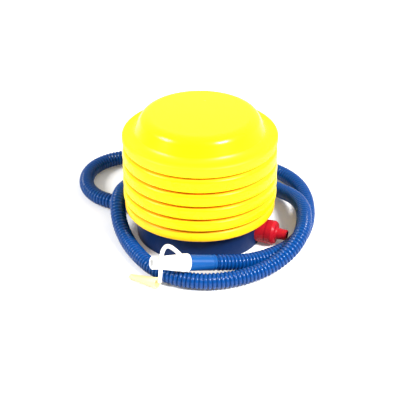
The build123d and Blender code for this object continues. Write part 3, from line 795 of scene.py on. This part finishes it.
class PUMP_OT_turned_ends(bpy.types.Operator):
    """Smooth cuffs of the hose, the nozzle and the small adapter"""

    bl_idname = "pump.turned_ends"
    bl_label = "Cuffs, nozzle and adapter"

    def execute(self, context):
        port = port_place(OUTLET_AZIMUTH, OUTLET_HEIGHT)
        cuff = turned_profile([
            (4.3, 53.2, 0), (6.3, 53.2, 0.4), (6.6, 53.9, 0.3), (6.6, 60.0, 0.5),
            (6.2, 61.2, 0.4), (6.2, 62.0, 0.2), (4.3, 62.0, 0),
        ])
        piece = add_piece("outlet_cuff", *turned_mesh(cuff, port, 48), "base", "blue_cuff",
                          cuff_blue())
        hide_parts("hose_cuff")

        end = Vector(HOSE_ROUTE[-1])
        along = (end - Vector(HOSE_ROUTE[-2])).normalized()
        place = axis_place(end, along)
        cuff = turned_profile([
            (4.3, 0, 0), (6.1, 0, 0.3), (6.2, 1.2, 0.3), (5.7, 1.8, 0.3), (5.7, 2.4, 0.3),
            (6.05, 3.0, 0.3), (6.1, 12.0, 2.0), (6.2, 20.6, 0.6), (6.0, 22.0, 0.5), (4.3, 22.0, 0),
        ])
        piece = add_piece("nozzle_sleeve", *turned_mesh(cuff, place, 48), "base", "blue_cuff",
                          cuff_blue())
        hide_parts("nozzle_cuff")

        nozzle = turned_profile([
            (3.2, 8.0, 0), (4.2, 8.0, 0.2), (4.2, 22.0, 0.2), (6.7, 22.0, 0.4), (7.0, 22.8, 0.4),
            (7.0, 26.2, 0.5), (6.7, 27.2, 0.6), (4.95, 43.8, 6.0), (4.9, 51.3, 0.45),
            (4.4, 51.8, 0.3), (3.2, 51.8, 0.3), (3.15, 50.3, 0),
        ])
        piece = add_piece("nozzle_shell", *turned_mesh(nozzle, place, 64), "base",
                          "white_plastic", nozzle_white())
        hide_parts("nozzle")

        along = ADAPTER_TIP - ADAPTER_WIDE_END
        length = along.length / MM
        place = axis_place(ADAPTER_WIDE_END, along)
        adapter = turned_profile([
            (3.5, 0, 0.3), (4.4, 0, 0.4), (4.35, 1.6, 0.3), (4.1, 1.9, 0.3), (2.0, length, 0.3),
            (1.1, length, 0.2), (1.15, length - 1.0, 0), (3.45, 0.8, 0),
        ])
        piece = add_piece("adapter_shell", *turned_mesh(adapter, place, 48), "base",
                          "cream_cone", adapter_cream())
        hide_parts("adapter_cone")
        return {"FINISHED"}


class PUMP_OT_hose(bpy.types.Operator):
    """Ribbed hose from the outlet round the base to the nozzle"""

    bl_idname = "pump.hose"
    bl_label = "Hose"

    def execute(self, context):
        settings = context.scene.pump_hose
        points = centre_line("hose_line", HOSE_ROUTE)
        length = line_length(points)
        radius = settings.diameter / 2
        pitch = settings.rib_pitch
        ribs = round((length - 2 * HOSE_END) / pitch)
        pitch = (length - 2 * HOSE_END) / ribs
        rim = radius - HOSE_END_STEP
        stations = [(0.0, rim), (HOSE_END_RIM, rim)]
        painted_shade_and_gloss = [HOSE_END_SHADE] * 2
        for k in range(ribs):
            for share, depth in RIB_SECTION:
                distance = HOSE_END + (k + share) * pitch
                stations.append((distance, radius - settings.rib_depth * depth))
                painted_shade_and_gloss.append(1.0 - depth)
        stations += [
            (length - HOSE_END, radius - settings.rib_depth), (length - HOSE_END_RIM, rim),
            (length, rim),
        ]
        painted_shade_and_gloss += [0.0, HOSE_END_SHADE, HOSE_END_SHADE]
        vertices, faces = tube_mesh(points, stations, settings.around)
        piece = add_piece("ribbed_hose", vertices, faces, "base", "blue_hose",
                          ribbed_blue(settings))
        # The rib attribute carries the painted shade between the ribs and the gloss on their
        # crests.
        shade = piece.data.attributes.new("rib", "FLOAT", "POINT")
        shade.data.foreach_set("value", [c for c in painted_shade_and_gloss for _ in range(settings.around)])
        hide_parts("hose")
        return {"FINISHED"}


class PUMP_OT_tether(bpy.types.Operator):
    """Moulded strap that keeps the adapter on the nozzle"""

    bl_idname = "pump.tether"
    bl_label = "Tether"

    def execute(self, context):
        points = centre_line("tether_line", TETHER_ROUTE)
        length = line_length(points)
        steps = 60
        radius = TETHER_DIAMETER / 2
        stations = []
        for k in range(steps + 1):
            share = k / steps
            swell = max(0.0, 1 - share * 12) + max(0.0, 1 - (1 - share) * 12)
            stations.append((share * length, radius * (0.94 + 0.06 * swell)))
        vertices, faces = tube_mesh(points, stations, 20)
        piece = add_piece("tether_strap", vertices, faces, "base", "white_plastic",
                          nozzle_white())
        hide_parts("nozzle_tether")
        return {"FINISHED"}


class PUMP_OT_foot_cap(bpy.types.Operator):
    """Domed cap that is pressed by hand or foot"""

    bl_idname = "pump.foot_cap"
    bl_label = "Foot cap"

    def execute(self, context):
        profile = turned_profile([
            (50.4, 78.95, 0), (60.6, 78.95, 3.2), (61.25, 83.5, 12.0), (61.4, 88.7, 4.2),
            (52.6, 88.65, 6.0), (44.6, 104.4, 9.0), (20.0, 104.85, 60.0), (0, 104.9, 0),
        ], steps=10)
        inner = turned_profile([
            (0, 103.1, 0), (43.2, 103.0, 7.2), (50.9, 86.9, 7.8), (59.6, 86.9, 2.4),
            (59.1, 80.75, 1.6), (50.4, 80.75, 0),
        ], steps=6)
        piece = add_piece("foot_cap_shell", *turned_mesh(profile + inner, around=192), "cap",
                          "yellow_cap", cap_yellow())
        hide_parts("top_cap")
        return {"FINISHED"}


class PUMP_OT_bellows(bpy.types.Operator):
    """Pleated bellows between the base and the foot cap"""

    bl_idname = "pump.bellows"
    bl_label = "Bellows"

    def execute(self, context):
        foot, top = 20.05, 81.8
        corners = [(NECK_BORE, foot, 0), (NECK_RADIUS, foot, 0.3)]
        for i, (low, high) in enumerate(zip(PLEAT_LEVELS, PLEAT_LEVELS[1:])):
            crest = 60.1 if i == 0 else 61.1  # the lowest pleat is a little smaller
            middle = (low + high) / 2
            corners += [
                (NECK_RADIUS, low + 0.25, 0.5), (crest, low + 0.7, 2.4),
                (crest + 0.1, middle, 9.0), (crest - 0.2, high - 1.1, 4.4),
                (NECK_RADIUS, high - 0.25, 0.5),
            ]
        corners += [(NECK_RADIUS, top, 0.3), (NECK_BORE, top, 0)]
        profile = turned_profile(corners, steps=7)
        piece = add_piece("bellows_skin", *turned_mesh(profile, around=192, closed=False), "base",
                          "yellow_bellows", bellows_yellow())
        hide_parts("bellows")
        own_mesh(piece)
        return {"FINISHED"}


class PUMP_OT_return_spring(bpy.types.Operator):
    """Coil spring inside the bellows"""

    bl_idname = "pump.return_spring"
    bl_label = "Return spring"

    def execute(self, context):
        low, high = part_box("return_spring")
        coil = 0.021
        wire = 0.0011
        turns = 6.5
        steps = 300
        around = 14
        rise = high.z - low.z - 2 * wire
        vertices = []
        faces = []
        for i in range(steps + 1):
            share = i / steps
            angle = 2 * pi * turns * share
            middle = Vector((coil * cos(angle), coil * sin(angle), low.z + wire + rise * share))
            out = Vector((cos(angle), sin(angle), 0))
            ahead = Vector((-sin(angle) * coil, cos(angle) * coil, rise / (2 * pi * turns)))
            up = ahead.normalized().cross(out) * -1
            for k in range(around):
                a = 2 * pi * k / around
                vertices.append(middle + out * (wire * cos(a)) + up * (wire * sin(a)))
        for i in range(steps):
            for k in range(around):
                n = (k + 1) % around
                a = i * around
                b = a + around
                faces.append((a + k, a + n, b + n, b + k))
        faces.append(tuple(range(around - 1, -1, -1)))
        faces.append(tuple(steps * around + k for k in range(around)))
        piece = add_piece("spring_coil", vertices, faces, "base", "spring_steel", spring_wire())
        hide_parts("return_spring")
        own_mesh(piece)
        return {"FINISHED"}


class PUMP_OT_suction_valve(bpy.types.Operator):
    """Red cap and spigot of the suction valve"""

    bl_idname = "pump.suction_valve"
    bl_label = "Suction valve"

    def execute(self, context):
        port = port_place(INLET_AZIMUTH, INLET_HEIGHT)
        profile = turned_profile([
            (8.1, 58.05, 0), (9.45, 58.05, 0.3), (9.7, 58.5, 0.25), (9.7, 63.4, 0.8),
            (8.3, 65.4, 0.7), (5.6, 65.4, 0.6), (4.7, 66.6, 1.0), (4.3, 70.6, 2.0),
            (4.3, 72.8, 0.4), (4.1, 74.2, 0.3), (3.9, 74.4, 0.2), (2.7, 74.4, 0.2),
            (2.7, 61.05, 0), (8.1, 61.05, 0),
        ], steps=5)
        piece = add_piece("suction_cap", *turned_mesh(profile, port, 72), "base", "red_valve",
                          valve_red())
        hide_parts("inlet_valve_cap")
        return {"FINISHED"}


class PUMP_OT_solid_parts(bpy.types.Operator):
    """Finishes of the pieces that are shown as the solid model has them"""

    bl_idname = "pump.solid_parts"
    bl_label = "Solid parts"

    def execute(self, context):
        finishes = {
            base_navy: ["base_housing", "base_plate", "outlet_port", "lower_spring_seat"],
            # The clamp ring lies inside the grooves' root radius, so it takes the painted shade all
            # over.
            bellows_yellow: ["clamp_ring"],
            cap_yellow: ["upper_spring_seat"],
            valve_red: ["inlet_valve_body", "inlet_valve_cage", "inlet_lock_nut"],
            nozzle_white: ["outlet_valve_seat", "outlet_valve_cage"],
            seal_black: ["base_gasket", "inlet_valve_disc", "inlet_seal", "outlet_valve_disc",
                         "outlet_seal"],
            screw_zinc: ["base_screws"],
        }
        for finish, names in finishes.items():
            material = finish()
            for name in names:
                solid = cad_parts[name]
                for slot in solid.material_slots:
                    slot.material = material
        return {"FINISHED"}


class PUMP_PT_panel(bpy.types.Panel):
    """Settings and pieces of the pump"""

    bl_label = "Bellows Hand Pump"
    bl_idname = "PUMP_PT_panel"
    bl_space_type = "VIEW_3D"
    bl_region_type = "UI"
    bl_category = "Pump"

    def draw(self, context):
        layout = self.layout
        scene = context.scene
        for title, settings in (
            ("Plastics", scene.pump_plastic), ("Hose", scene.pump_hose),
            ("Studio", scene.pump_studio),
        ):
            box = layout.box()
            box.label(text=title)
            for key in settings.__annotations__:
                box.prop(settings, key)
        column = layout.column(align=True)
        for operator in OPERATORS:
            column.operator(operator.bl_idname)


OPERATORS = (
    PUMP_OT_stage,
    PUMP_OT_turned_ends,
    PUMP_OT_hose,
    PUMP_OT_tether,
    PUMP_OT_foot_cap,
    PUMP_OT_bellows,
    PUMP_OT_return_spring,
    PUMP_OT_suction_valve,
    PUMP_OT_solid_parts,
)
CLASSES = (PumpPlasticSettings, PumpHoseSettings, PumpStudioSettings, *OPERATORS, PUMP_PT_panel)


def register():
    for cls in CLASSES:
        bpy.utils.register_class(cls)
    bpy.types.Scene.pump_plastic = PointerProperty(type=PumpPlasticSettings)
    bpy.types.Scene.pump_hose = PointerProperty(type=PumpHoseSettings)
    bpy.types.Scene.pump_studio = PointerProperty(type=PumpStudioSettings)


def unregister():
    del bpy.types.Scene.pump_studio
    del bpy.types.Scene.pump_hose
    del bpy.types.Scene.pump_plastic
    for cls in reversed(CLASSES):
        bpy.utils.unregister_class(cls)


def main():
    register()
    bpy.ops.pump.stage()
    bpy.ops.pump.turned_ends()
    bpy.ops.pump.hose()
    bpy.ops.pump.tether()
    bpy.ops.pump.foot_cap()
    bpy.ops.pump.bellows()
    bpy.ops.pump.return_spring()
    bpy.ops.pump.suction_valve()
    bpy.ops.pump.solid_parts()


if __name__ == "__main__":
    main()
